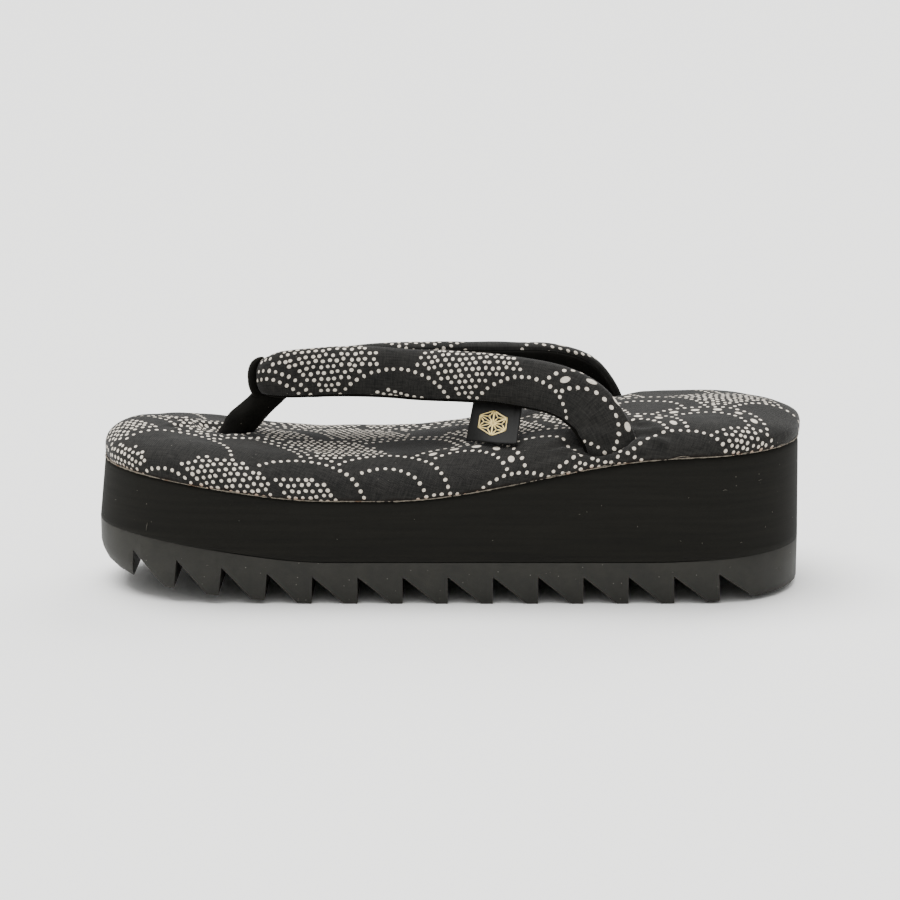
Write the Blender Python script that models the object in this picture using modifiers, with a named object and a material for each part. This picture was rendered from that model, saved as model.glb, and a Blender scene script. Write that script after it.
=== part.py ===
# Setta sandal: a platform of foam on a saw-toothed rubber tread, a padded cloth deck,
# and a thick V strap held between the toes by a velvet thong.
# The toe points to -X and the heel to +X, up is +Z, and the origin is on the floor under the middle.
# Sizes are in metres. "Along" is a share of LENGTH counted from the toe, "out" a share of half WIDTH.

from collections import namedtuple
from math import atan, cos, pi, radians, sin, sqrt

import bmesh
import bpy
from mathutils import Vector

MM = 0.001
GAP = 0.3 * MM              # running clearance between pieces that touch

# Sole seen from above
LENGTH = 250 * MM           # over everything
WIDTH = 75 * MM             # of the platform, whose sides run parallel
TOE_ROUND = 44 * MM         # length of the rounded toe end
HEEL_ROUND = 38 * MM        # length of the rounded heel end
END_POWER = 2.15            # 2 would round the ends as ellipses, more makes them squarer
QUARTER_STEPS = 10
SIDE_STEPS = 20

# Rubber tread
TREAD = 15 * MM             # thickness with its lugs
TREAD_TOE = 17.5 * MM       # thickness at the tip of the toe
TOE_LIFT = 6.8 * MM
HEEL_LIFT = 2.2 * MM
TOE_TUCK = 7.2 * MM         # how far the toe face runs back under
NOTCH_PITCH = 15.7 * MM
NOTCH_DEPTH = 9.6 * MM
LUG_TIP = 3.9 * MM          # flat end of a lug
FIRST_NOTCH = 14.6 * MM     # from the toe
HEEL_BLOCK = 31.5 * MM      # solid stretch behind the last notch

# Foam platform
FORE_FOAM = 21.3 * MM
HEEL_FOAM = 36.2 * MM
TOE_RAKE = 2.4 * MM         # the toe face leans back by this
HEEL_RAKE = 0.8 * MM        # the heel face leans forward by this

# Padded deck
PAD = 13.6 * MM             # crown above the platform, under the ball of the foot
PAD_TOE = 11.6 * MM
PAD_HEEL = 10.7 * MM
PAD_ROLL = 16 * MM          # how far in the rolled edge reaches at the sides and toe
PAD_ROLL_HEEL = 26 * MM
PAD_BULGE = 0.6 * MM        # how far the roll stands out over the platform
PAD_BULGE_HEIGHT = 2.4 * MM
PAD_DOME = 1.5 * MM         # how much higher the middle of the width stands
ROLL_STEPS = 7
DECK_COLUMNS = 8

# V strap
STRAP_TALL = 18.4 * MM
STRAP_THICK = 10.6 * MM
STRAP_RISE = 27 * MM        # middle of the strap above the deck, where it is highest
ARM_GAP = 1.0 * MM          # between the two arms where they lie side by side
BEND_ALONG = 0.270
BEND_DROP = 1.4 * MM        # how much lower the front of the bend hangs
BEND_PINCH = 0.14           # share of its height that the loop pinches off there
STRAP_POWER = 2.3           # its section: 2 would be an ellipse
STRAP_SIDES = 16
ARM_SUBSTEPS = 3
BEND_STEPS = 8

# Thong and its loop
THONG = 9.8 * MM            # diameter of the cord
THONG_ALONG = 0.170         # its hole in the deck
THONG_BURIED = 0.55         # share of the deck's thickness at which it starts to slant
THONG_REACH = 2 * MM        # how far its end runs up into the bend, before the bend's seat is cut
LOOP = 2.4 * MM             # thickness of the velvet loop
LOOP_TURN = radians(25)     # half its width, as a turn round the bend
LOOP_UP = radians(64)       # how far it runs up round the strap from the front
LOOP_DOWN = radians(98)
LOOP_THIN = 0.65            # share of its thickness that it loses at its upper end
LOOP_EDGE = 0.45            # share that it loses along its two sides

# Woven label
LABEL_WIDE = 17.5 * MM
LABEL_THICK = 1.1 * MM
LABEL_ALONG = 0.526         # its edge towards the toe
LABEL_SEAM = 0.12           # how far out under the strap its fold is sewn, as a share of STRAP_THICK
LABEL_SWING_TOE = 7.5 * MM  # how far out its hem lies there
LABEL_SWING_HEEL = 14 * MM

# Where each change of height starts and ends along the sole
Ease = namedtuple("Ease", "start end")
TOE_SPRING = Ease(0.335, 0.0)
HEEL_SPRING = Ease(0.77, 1.0)
HEEL_RISE = Ease(0.413, 0.825)
PAD_TOE_FALL = Ease(0.37, 0.05)
PAD_HEEL_FALL = Ease(0.45, 0.95)

# Toe face of the tread: down is a share of its thickness, tuck of TOE_TUCK
TuckRow = namedtuple("TuckRow", "down tuck")
TUCK = (
    TuckRow(1.00, 1.00),
    TuckRow(0.93, 0.62),
    TuckRow(0.82, 0.30),
    TuckRow(0.65, 0.08),
    TuckRow(0.50, 0.00),
    TuckRow(0.00, 0.00),
)

# Hollows in the deck, the same on both sides: depth is a share of its thickness there
Hollow = namedtuple("Hollow", "along out reach_along reach_out depth")
HOLLOWS = (
    Hollow(0.722, 0.85, 0.085, 0.42, 0.40),    # where the strap's feet pull it down
    Hollow(THONG_ALONG + 0.02, 0.0, 0.060, 0.30, 0.05),
    Hollow(0.42, 0.0, 0.260, 0.90, 0.06),      # under the ball of the foot
)

# An arm of the strap from the bend to its foot: spread is a share of the way from the middle to
# the edge of the sole, rise a share of STRAP_RISE above the deck or of PAD below it, tall and
# thick are shares of the strap's own sizes, and lean tips the top inwards, in degrees
ArmRow = namedtuple("ArmRow", "along spread rise tall thick lean")
ARM = (
    ArmRow(BEND_ALONG, 0.000, 0.885, 0.88, 0.94, 4),
    ArmRow(0.310, 0.002, 0.950, 0.97, 1.00, 7),
    ArmRow(0.369, 0.005, 0.975, 1.00, 1.00, 8),
    ArmRow(0.431, 0.025, 0.938, 0.98, 1.00, 8),
    ArmRow(0.506, 0.110, 0.853, 0.98, 1.00, 7),
    ArmRow(0.579, 0.245, 0.700, 0.96, 1.00, 5),
    ArmRow(0.644, 0.450, 0.515, 0.95, 0.95, 3),
    ArmRow(0.681, 0.610, 0.315, 0.98, 0.82, 0),
    ArmRow(0.706, 0.727, 0.055, 1.00, 0.64, 0),
    ArmRow(0.720, 0.796, -0.400, 1.00, 0.54, 0),
    ArmRow(0.727, 0.828, -0.910, 1.00, 0.52, 0),
)


def ease(share):
    """Smooth step from 0 to 1."""
    share = min(max(share, 0.0), 1.0)
    return share * share * (3 - 2 * share)


def along(x):
    return x / LENGTH + 0.5


def place(share):
    """X of a share of the length counted from the toe."""
    return (share - 0.5) * LENGTH


def progress(x, span):
    return ease((along(x) - span.start) / (span.end - span.start))


def floor_lift(x):
    """Underside of the tread, before the notches are cut."""
    return TOE_LIFT * progress(x, TOE_SPRING) + HEEL_LIFT * progress(x, HEEL_SPRING)


def tread_thickness(x):
    return TREAD + (TREAD_TOE - TREAD) * progress(x, TOE_SPRING)


def tread_top(x):
    return floor_lift(x) + tread_thickness(x)


def foam_top(x):
    return tread_top(x) + GAP + FORE_FOAM + (HEEL_FOAM - FORE_FOAM) * progress(x, HEEL_RISE)


def roll(inset):
    """Share of the way from the bulge up to the crown, at a distance in from the edge."""
    out = min(max((PAD_ROLL - inset) / (PAD_ROLL + PAD_BULGE), 0.0), 1.0)
    return sqrt(1 - out * out)


def crown(x):
    """Full thickness of the deck in the middle of its width, before its hollows."""
    return (PAD - (PAD - PAD_TOE) * progress(x, PAD_TOE_FALL)
            - (PAD - PAD_HEEL) * progress(x, PAD_HEEL_FALL))


def hollow(x, y):
    """Share of the deck's thickness that the hollows leave."""
    left = 1.0
    for row in HOLLOWS:
        away_x = (along(x) - row.along) / row.reach_along
        away_y = (abs(y) / (WIDTH / 2) - row.out) / row.reach_out
        left *= 1 - row.depth * ease(1 - sqrt(away_x ** 2 + away_y ** 2))
    return left


def deck_top(x, y, inset):
    thickness = PAD_BULGE_HEIGHT + (crown(x) - PAD_BULGE_HEIGHT) * roll(inset)
    dome = PAD_DOME * ease(1 - abs(y) / (WIDTH / 2 - PAD_ROLL))
    return foam_top(x) + GAP + (thickness + dome) * hollow(x, y)


def half_plan(inset=0.0, toe_back=0.0, heel_back=0.0):
    """Edge of the sole on the +Y side, from the tip of the toe to the tip of the heel."""
    toe_centre = -LENGTH / 2 + TOE_ROUND
    heel_centre = LENGTH / 2 - HEEL_ROUND
    toe_reach = TOE_ROUND - toe_back - inset
    heel_reach = HEEL_ROUND - heel_back - inset
    half = WIDTH / 2 - inset
    power = 2 / END_POWER
    points = []
    for step in range(QUARTER_STEPS):
        turn = pi / 2 * step / QUARTER_STEPS
        points.append((toe_centre - toe_reach * cos(turn) ** power, half * sin(turn) ** power))
    for step in range(SIDE_STEPS + 1):
        points.append((toe_centre + (heel_centre - toe_centre) * step / SIDE_STEPS, half))
    for step in range(QUARTER_STEPS - 1, 0, -1):
        turn = pi / 2 * step / QUARTER_STEPS
        points.append((heel_centre + heel_reach * cos(turn) ** power, half * sin(turn) ** power))
    points.append((heel_centre + heel_reach, 0.0))
    return points


def ring(height, inset=0.0, toe_back=0.0, heel_back=0.0):
    """Closed loop round the sole: height gives z for an x and y."""
    half = half_plan(inset, toe_back, heel_back)
    mirrored = [(x, -y) for x, y in reversed(half[1:-1])]
    return [(x, y, height(x, y)) for x, y in half + mirrored]


def principled(name, colour, roughness):
    material = bpy.data.materials.new(name)
    material.use_nodes = True
    shader = material.node_tree.nodes["Principled BSDF"]
    shader.inputs["Base Color"].default_value = (*colour, 1.0)
    shader.inputs["Roughness"].default_value = roughness
    shader.inputs["Metallic"].default_value = 0.0
    return material


def add_object(name, mesh, material, collection):
    mesh.materials.append(material)
    mesh.shade_smooth()
    mesh.set_sharp_from_angle(angle=radians(35))
    piece = bpy.data.objects.new(name, mesh)
    collection.objects.link(piece)
    return piece


def solid(name, points, faces, material, collection):
    """One closed body from points and faces, its faces turned outwards."""
    shape = bmesh.new()
    corners = [shape.verts.new(point) for point in points]
    for face in faces:
        shape.faces.new([corners[index] for index in face])
    bmesh.ops.recalc_face_normals(shape, faces=shape.faces)
    mesh = bpy.data.meshes.new(name)
    shape.to_mesh(mesh)
    shape.free()
    return add_object(name, mesh, material, collection)


def side_faces(ring_count, count):
    """Quads between neighbouring rings of count points each."""
    faces = []
    for level in range(ring_count - 1):
        for index in range(count):
            after = (index + 1) % count
            faces.append((level * count + index, level * count + after,
                          (level + 1) * count + after, (level + 1) * count + index))
    return faces


def rung_faces(first, count):
    """Closes a loop round the sole with strips straight across it."""
    last = count // 2
    faces = [(first, first + 1, first + count - 1)]
    for index in range(1, last - 1):
        faces.append((first + index, first + index + 1,
                      first + count - index - 1, first + count - index))
    faces.append((first + last - 1, first + last, first + last + 1))
    return faces


def slab(name, rings, material, collection):
    """A layer of the sole, closed across its first and last loop."""
    count = len(rings[0])
    faces = side_faces(len(rings), count)
    faces += rung_faces(0, count)
    faces += rung_faces((len(rings) - 1) * count, count)
    points = [point for loop in rings for point in loop]
    return solid(name, points, faces, material, collection)


def mark_cutter(piece):
    piece.hide_render = True
    piece.display_type = "WIRE"


def cut(piece, cutter, operation="DIFFERENCE"):
    mark_cutter(cutter)
    boolean = piece.modifiers.new(cutter.name, "BOOLEAN")
    boolean.operation = operation
    boolean.solver = "EXACT"
    boolean.object = cutter


def notch_count():
    room = LENGTH - FIRST_NOTCH - HEEL_BLOCK
    return int(room / NOTCH_PITCH + 0.5) + 1


def notch_cutter(material, collection):
    """Saw-tooth notches across the sole: an upright wall towards the toe, a sloped roof behind."""
    points = []
    faces = []
    reach = WIDTH / 2 + TREAD
    below = LUG_TIP / 2
    for number in range(notch_count()):
        x = -LENGTH / 2 + FIRST_NOTCH + number * NOTCH_PITCH
        depth = NOTCH_DEPTH * tread_thickness(x) / TREAD
        slope = atan((floor_lift(x + MM) - floor_lift(x - MM)) / (2 * MM))
        run = (NOTCH_PITCH - LUG_TIP) * (depth + below) / depth
        first = len(points)
        for y in (-reach, reach):
            for forward, down in ((0.0, 0.0), (0.0, depth + below), (run, depth + below)):
                points.append((x + forward * cos(slope) + down * sin(slope), y,
                               floor_lift(x) + depth + forward * sin(slope) - down * cos(slope)))
        faces.append((first, first + 1, first + 2))
        faces.append((first + 3, first + 5, first + 4))
        for corner in range(3):
            after = (corner + 1) % 3
            faces.append((first + corner, first + 3 + corner, first + 3 + after, first + after))
    return solid("notches", points, faces, material, collection)


def make_outsole(material, collection, cutters):
    rings = []
    for row in TUCK:
        rings.append(ring(lambda x, y: tread_top(x) - row.down * tread_thickness(x),
                          toe_back=row.tuck * TOE_TUCK))
    tread = slab("outsole", rings, material, collection)
    cut(tread, notch_cutter(material, cutters))
    return tread


def make_midsole(material, collection):
    bottom = ring(lambda x, y: tread_top(x) + GAP)
    top = ring(lambda x, y: foam_top(x), toe_back=TOE_RAKE, heel_back=HEEL_RAKE)
    return slab("midsole", [bottom, top], material, collection)


def deck_ring(height, inset):
    """Loop of the deck: its toe stays flush with the platform, its heel rolls over a longer way."""
    longer = max(inset, 0.0) * (PAD_ROLL_HEEL / PAD_ROLL - 1)
    return ring(height, inset, toe_back=TOE_RAKE + PAD_BULGE, heel_back=HEEL_RAKE + longer)


def deck_rings():
    """Loops of the deck from its seat on the platform, out over the bulge and in over the roll."""
    rings = [deck_ring(lambda x, y: foam_top(x) + GAP, 0.0)]
    rings.append(deck_ring(lambda x, y: foam_top(x) + GAP + PAD_BULGE_HEIGHT / 2,
                           -PAD_BULGE * sin(pi / 3)))
    for step in range(ROLL_STEPS + 1):
        turn = pi / 2 * step / ROLL_STEPS
        inset = -PAD_BULGE + (PAD_ROLL + PAD_BULGE) * (1 - cos(turn))
        rings.append(deck_ring(lambda x, y: deck_top(x, y, inset), inset))
    return rings


def make_footbed(material, collection, cutters):
    rings = deck_rings()
    count = len(rings[0])
    points = [point for loop in rings for point in loop]
    faces = side_faces(len(rings), count) + rung_faces(0, count)
    first = (len(rings) - 1) * count
    inner = rings[-1]
    last = count // 2
    rows = [[first]]
    for index in range(1, last):
        x, reach = inner[index][0], inner[index][1]
        row = [first + index]
        for column in range(1, DECK_COLUMNS):
            y = reach * (1 - 2 * column / DECK_COLUMNS)
            row.append(len(points))
            points.append((x, y, deck_top(x, y, PAD_ROLL)))
        row.append(first + count - index)
        rows.append(row)
    rows.append([first + last])
    for row, after in zip(rows, rows[1:]):
        for column in range(DECK_COLUMNS):
            corners = [row[min(column, len(row) - 1)], row[min(column + 1, len(row) - 1)],
                       after[min(column + 1, len(after) - 1)], after[min(column, len(after) - 1)]]
            faces.append(tuple(dict.fromkeys(corners)))
    deck = solid("footbed", points, faces, material, collection)
    for cutter in cutters:
        cut(deck, cutter)
    return deck


def blend(rows, position):
    """Row of a table at a fractional index, on a smooth curve through its rows."""
    index = min(int(position), len(rows) - 2)
    share = position - index
    before = rows[max(index - 1, 0)]
    beyond = rows[min(index + 2, len(rows) - 1)]
    values = []
    for a, b, c, d in zip(before, rows[index], rows[index + 1], beyond):
        values.append(0.5 * (2 * b + (c - a) * share + (2 * a - 5 * b + 4 * c - d) * share ** 2
                             + (3 * b - a - 3 * c + d) * share ** 3))
    return type(rows[0])(*values)


def bend_radius():
    return STRAP_THICK / 2 + ARM_GAP / 2


def arm_station(row):
    """Middle of the near arm's section, before its axes are known."""
    x = place(row.along)
    y = bend_radius() + row.spread * (WIDTH / 2 - bend_radius())
    height = row.rise * (STRAP_RISE if row.rise > 0 else PAD)
    return Vector((x, -y, foam_top(x) + PAD + height))


def power_cos(turn, power):
    value = cos(turn)
    return abs(value) ** (2 / power) * (1 if value >= 0 else -1)


def section(middle, side, up, thick, tall):
    """Padded oval round a point: side is its thickness direction, up its height direction."""
    points = []
    for step in range(STRAP_SIDES):
        turn = 2 * pi * step / STRAP_SIDES
        points.append(middle + side * (thick / 2 * power_cos(turn, STRAP_POWER))
                      + up * (tall / 2 * power_cos(turn - pi / 2, STRAP_POWER)))
    return points


def arm_sections(grow):
    """Sections of the near arm from the bend to the foot, each grown outwards by grow."""
    steps = (len(ARM) - 1) * ARM_SUBSTEPS
    rows = [blend(ARM, step / ARM_SUBSTEPS) for step in range(steps + 1)]
    middles = [arm_station(row) for row in rows]
    sections = []
    for index, row in enumerate(rows):
        ahead = middles[min(index + 1, steps)] - middles[max(index - 1, 0)]
        ahead.normalize()
        side = Vector((0, -1, 0))
        side = (side - side.dot(ahead) * ahead).normalized()
        up = side.cross(ahead)
        lean = radians(row.lean)
        tipped_up = up * cos(lean) - side * sin(lean)
        tipped_side = side * cos(lean) + up * sin(lean)
        sections.append(section(middles[index], tipped_side, tipped_up,
                                row.thick * STRAP_THICK + 2 * grow, row.tall * STRAP_TALL + 2 * grow))
    return sections


def bend_frame(turn):
    """Middle, outward side and drop of the strap's bend at a turn from straight ahead."""
    side = Vector((-cos(turn), sin(turn), 0))
    height = foam_top(place(BEND_ALONG)) + PAD + ARM[0].rise * STRAP_RISE - BEND_DROP * cos(turn)
    middle = Vector((place(BEND_ALONG), 0, height)) + side * bend_radius()
    return middle, side


def bend_tall(turn):
    """Height of the strap in the bend, where the loop pinches it."""
    return STRAP_TALL * (ARM[0].tall - BEND_PINCH * cos(turn))


def bend_sections(grow):
    sections = []
    lean = radians(ARM[0].lean)
    for step in range(1, BEND_STEPS):
        turn = pi * (step / BEND_STEPS - 0.5)
        middle, side = bend_frame(turn)
        tip = lean * abs(sin(turn))
        up = Vector((0, 0, 1)) * cos(tip) - side * sin(tip)
        out = side * cos(tip) + Vector((0, 0, 1)) * sin(tip)
        sections.append(section(middle, out, up, STRAP_THICK * ARM[0].thick + 2 * grow,
                                bend_tall(turn) + 2 * grow))
    return sections


def mirror(points):
    return [Vector((point.x, -point.y, point.z)) for point in points]


def trim_to_foam(points):
    """The foot of the strap stands just above the platform."""
    return [Vector((point.x, point.y, foam_top(point.x) + GAP)) for point in points]


def tube_faces(ring_count, sides):
    faces = side_faces(ring_count, sides)
    faces.append(tuple(range(sides)))
    faces.append(tuple((ring_count - 1) * sides + index for index in range(sides)))
    return faces


def strap_solid(name, grow, material, collection):
    near = arm_sections(grow)
    near[-1] = trim_to_foam(near[-1])
    far = [mirror(points) for points in near]
    rings = list(reversed(near)) + bend_sections(grow) + far
    points = [point for loop in rings for point in loop]
    return solid(name, points, tube_faces(len(rings), STRAP_SIDES), material, collection)


def foot_cutter(name, flip, material, collection):
    """The foot of one arm, larger by the clearance and run on down through the deck."""
    rings = arm_sections(GAP)[-2 * ARM_SUBSTEPS - 3:]
    drop = Vector((0, 0, -PAD))
    rings.append([point + drop for point in rings[-1]])
    if flip:
        rings = [mirror(points) for points in rings]
    points = [point for loop in rings for point in loop]
    return solid(name, points, tube_faces(len(rings), STRAP_SIDES), material, collection)


def thong_path():
    """Ends and bending point of the cord's curve, from its hole to the middle of the bend."""
    x = place(THONG_ALONG)
    foot = Vector((x, 0, foam_top(x - THONG / 2) + 2 * GAP))
    crook = Vector((x, 0, foam_top(x) + THONG_BURIED * crown(x)))
    middle, side = bend_frame(0.0)
    top = middle - side * THONG_REACH + Vector((0, 0, THONG_REACH - bend_tall(0.0) / 2))
    return foot, crook, top


def cord(name, diameter, drop, material, collection):
    """Tube along the thong's curve, with a straight tail of length drop below its foot."""
    steps = 10
    foot, crook, top = thong_path()
    curve = bpy.data.curves.new(name, "CURVE")
    curve.dimensions = "3D"
    curve.bevel_depth = diameter / 2
    curve.bevel_resolution = 2
    curve.use_fill_caps = True
    route = [foot - Vector((0, 0, drop))] if drop else []
    for step in range(steps + 1):
        share = step / steps
        route.append(foot * (1 - share) ** 2 + crook * 2 * share * (1 - share) + top * share ** 2)
    spline = curve.splines.new("POLY")
    spline.points.add(len(route) - 1)
    for knot, point in zip(spline.points, route):
        knot.co = (*point, 1.0)
    tube = bpy.data.objects.new(name + " curve", curve)
    collection.objects.link(tube)
    bpy.context.view_layer.update()
    shape = tube.evaluated_get(bpy.context.evaluated_depsgraph_get())
    mesh = bpy.data.meshes.new_from_object(shape)
    bpy.data.objects.remove(tube)
    closed = bmesh.new()
    closed.from_mesh(mesh)
    bmesh.ops.remove_doubles(closed, verts=closed.verts, dist=0.01 * MM)
    bmesh.ops.recalc_face_normals(closed, faces=closed.faces)
    closed.to_mesh(mesh)
    closed.free()
    mesh.name = name
    mesh.materials.clear()
    return add_object(name, mesh, material, collection)


def loop_point(turn, lap, extra):
    """Point over the strap's bend, extra out from its skin: lap runs from under it to over it."""
    middle, side = bend_frame(turn)
    thick = STRAP_THICK * ARM[0].thick / 2 + extra
    tall = bend_tall(turn) / 2 + extra
    return (middle + side * (thick * power_cos(lap, STRAP_POWER))
            + Vector((0, 0, tall * power_cos(lap - pi / 2, STRAP_POWER))))


def make_loop(material, collection):
    """The velvet loop over the bend, which starts on the strap's own skin."""
    across = 6
    laps = 16
    points = []
    for lap_step in range(laps + 1):
        lap = -LOOP_DOWN + (LOOP_UP + LOOP_DOWN) * lap_step / laps
        thickness = LOOP * (1 - LOOP_THIN * max(lap / LOOP_UP, 0.0) ** 2)
        outline = []
        for step in range(across + 1):
            turn = LOOP_TURN * (2 * step / across - 1)
            outline.append(loop_point(turn, lap, 0.0))
        for step in range(across, -1, -1):
            share = 2 * step / across - 1
            crowned = thickness * (1 - LOOP_EDGE * share ** 4)
            outline.append(loop_point(LOOP_TURN * share, lap, GAP + crowned))
        points += outline
    return solid("loop", points, tube_faces(laps + 1, 2 * (across + 1)), material, collection)


def make_thong(material, collection, cutters):
    thong = cord("thong", THONG, 0.0, material, collection)
    cut(thong, make_loop(material, cutters), "UNION")
    cut(thong, strap_solid("strap seat", GAP, material, cutters))
    return thong


def make_label(material, collection):
    """A folded ribbon hung from the underside of the near arm, its hem out over the deck."""
    columns = 4
    levels = 6
    arm = [blend(ARM, step / 8) for step in range(8 * (len(ARM) - 1) + 1)]
    points = []
    for column in range(columns + 1):
        share = column / columns
        x = place(LABEL_ALONG) + LABEL_WIDE * share
        row = min(arm, key=lambda station: abs(place(station.along) - x))
        head = arm_station(row)
        head.y -= STRAP_THICK * LABEL_SEAM
        head.z -= row.tall * STRAP_TALL / 2 + GAP + LABEL_THICK / 2
        hem_y = head.y - LABEL_SWING_TOE - (LABEL_SWING_HEEL - LABEL_SWING_TOE) * share
        hem_z = deck_top(x, hem_y, WIDTH / 2 - abs(hem_y)) + 2 * GAP + LABEL_THICK / 2
        for level in range(levels + 1):
            down = level / levels
            points.append((x, head.y + (hem_y - head.y) * down,
                           head.z + (hem_z - head.z) * down - GAP * sin(pi * down)))
    faces = []
    for column in range(columns):
        for level in range(levels):
            first = column * (levels + 1) + level
            faces.append((first, first + 1, first + levels + 2, first + levels + 1))
    sheet = solid("label", points, faces, material, collection)
    shell = sheet.modifiers.new("two layers of ribbon", "SOLIDIFY")
    shell.thickness = LABEL_THICK
    shell.offset = 0.0
    return sheet


for old in list(bpy.data.objects):
    bpy.data.objects.remove(old)

sandal = bpy.data.collections.new("Setta sandal")
cutting = bpy.data.collections.new("Cutters")
bpy.context.scene.collection.children.link(sandal)
bpy.context.scene.collection.children.link(cutting)

rubber = principled("Moulded rubber", (0.040, 0.040, 0.036), 0.75)
foam = principled("Cut foam", (0.014, 0.015, 0.011), 0.85)
cloth = principled("Printed cotton", (0.030, 0.030, 0.028), 0.90)
velvet = principled("Black velvet", (0.004, 0.004, 0.003), 1.0)
ribbon = principled("Woven ribbon", (0.008, 0.008, 0.007), 0.8)

make_outsole(rubber, sandal, cutting)
make_midsole(foam, sandal)
holes = [
    foot_cutter("near foot hole", False, cloth, cutting),
    foot_cutter("far foot hole", True, cloth, cutting),
    cord("thong hole", THONG + 2 * GAP, PAD, cloth, cutting),
]
make_footbed(cloth, sandal, holes)
strap_solid("strap", 0.0, cloth, sandal)
make_thong(velvet, sandal, cutting)
make_label(ribbon, sandal)
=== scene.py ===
# Setta sandal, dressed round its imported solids: moulded rubber, cut foam, printed cotton, velvet.
# Toe to -X, heel to +X, up is +Z. Sizes are in metres; "along" is a share of the length from the toe.

from collections import namedtuple
from math import ceil, cos, floor, hypot, pi, radians, sin, sqrt

import bmesh
import bpy
import numpy as np
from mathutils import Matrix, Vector, noise
from mathutils.kdtree import KDTree


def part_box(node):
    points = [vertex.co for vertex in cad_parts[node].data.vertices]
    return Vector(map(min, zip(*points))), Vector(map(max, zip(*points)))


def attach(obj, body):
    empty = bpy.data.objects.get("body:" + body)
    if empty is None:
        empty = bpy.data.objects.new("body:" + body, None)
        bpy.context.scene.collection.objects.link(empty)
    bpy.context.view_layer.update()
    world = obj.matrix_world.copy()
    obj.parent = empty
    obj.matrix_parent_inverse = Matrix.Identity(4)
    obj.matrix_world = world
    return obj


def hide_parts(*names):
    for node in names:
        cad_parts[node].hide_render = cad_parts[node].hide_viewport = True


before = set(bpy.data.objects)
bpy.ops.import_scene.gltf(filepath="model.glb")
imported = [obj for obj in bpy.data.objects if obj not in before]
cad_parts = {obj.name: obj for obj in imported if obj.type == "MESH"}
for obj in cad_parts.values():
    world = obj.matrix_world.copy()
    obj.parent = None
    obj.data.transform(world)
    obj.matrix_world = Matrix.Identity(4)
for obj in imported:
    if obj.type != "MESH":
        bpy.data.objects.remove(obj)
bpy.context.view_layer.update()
MM = 0.001

# Tread
# One sheet of microcellular rubber, moulded with saw teeth across it and glued under the platform.
# Its skin is matt and finely grained, rubbed paler along the edges of the teeth.

TOOTH_EDGE = 0.35 * MM


def linear(code):
    """sRGB hex colour as linear RGBA."""
    parts = [int(code[start:start + 2], 16) / 255 for start in (1, 3, 5)]
    return (*[v / 12.92 if v <= 0.04045 else ((v + 0.055) / 1.055) ** 2.4 for v in parts], 1.0)


def add(tree, kind, inputs=None, **settings):
    """Adds a shader node with its settings. An input is a value, a hex colour, or what is linked to it:
    a socket, or a node for its first output."""
    made = tree.nodes.new("ShaderNode" + kind)
    for name, value in settings.items():
        setattr(made, name, value)
    for name, value in (inputs or {}).items():
        if isinstance(value, bpy.types.Node):
            value = value.outputs[0]
        if isinstance(value, bpy.types.NodeSocket):
            tree.links.new(value, made.inputs[name])
        else:
            made.inputs[name].default_value = linear(value) if isinstance(value, str) else value
    return made


def start_material(name):
    """A material with an empty tree, and the piece's own coordinates in metres."""
    material = bpy.data.materials.new(name)
    material.use_nodes = True
    tree = material.node_tree
    tree.nodes.clear()
    return material, tree, add(tree, "TexCoord").outputs["Object"]


def close_material(material, inputs, relief=None, strength=0.0, depth=0.0):
    """Ends a material in one shader with these inputs, over a relief of a strength and a depth."""
    tree = material.node_tree
    if relief is not None:
        inputs["Normal"] = add(tree, "Bump", {"Height": relief, "Strength": strength, "Distance": depth})
    add(tree, "OutputMaterial", {"Surface": add(tree, "BsdfPrincipled", inputs)})
    return material


def specks(tree, place, spacing, size, share):
    """1 on scattered specks of a size, about one in each spacing, of which a share is kept."""
    cells = add(tree, "TexVoronoi", {"Vector": place, "Scale": 1 / spacing})
    near = add(tree, "MapRange", {
        "Value": cells, "From Min": size / spacing, "From Max": 0.4 * size / spacing})
    kept = add(tree, "Math", {0: cells.outputs["Color"], 1: 1 - share}, operation="GREATER_THAN")
    return add(tree, "Math", {0: near, 1: kept}, operation="MULTIPLY")


def moulded_rubber(name, dark, light):
    """Microcellular rubber, moulded: IOR 1.52, a dull skin clouded by handling, with a fine grain."""
    material, tree, place = start_material(name)
    cloud = add(tree, "TexNoise", {
        "Vector": place, "Scale": 1 / (9 * MM), "Detail": 6.0, "Roughness": 0.7})
    grain = add(tree, "TexNoise", {"Vector": place, "Scale": 1 / (0.45 * MM), "Detail": 3.0})
    skin = add(tree, "MixRGB", {"Fac": cloud, "Color1": dark, "Color2": light})
    dust = specks(tree, place, 2.6 * MM, 0.22 * MM, 0.45)
    dusty = add(tree, "MixRGB", {"Fac": dust, "Color1": skin, "Color2": "#6B6861"})
    dull = add(tree, "MapRange", {"Value": cloud, "To Min": 0.52, "To Max": 0.72})
    return close_material(material, {
        "Base Color": dusty, "IOR": 1.52, "Roughness": dull, "Specular IOR Level": 0.25},
        grain, 0.35, 0.12 * MM)


def show(name, mesh, *materials):
    """Puts a mesh in the scene as a piece that rides on the shoe."""
    mesh.materials.clear()
    for material in materials:
        mesh.materials.append(material)
    piece = bpy.data.objects.new(name, mesh)
    bpy.context.scene.collection.objects.link(piece)
    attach(piece, "root")
    return piece


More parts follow.
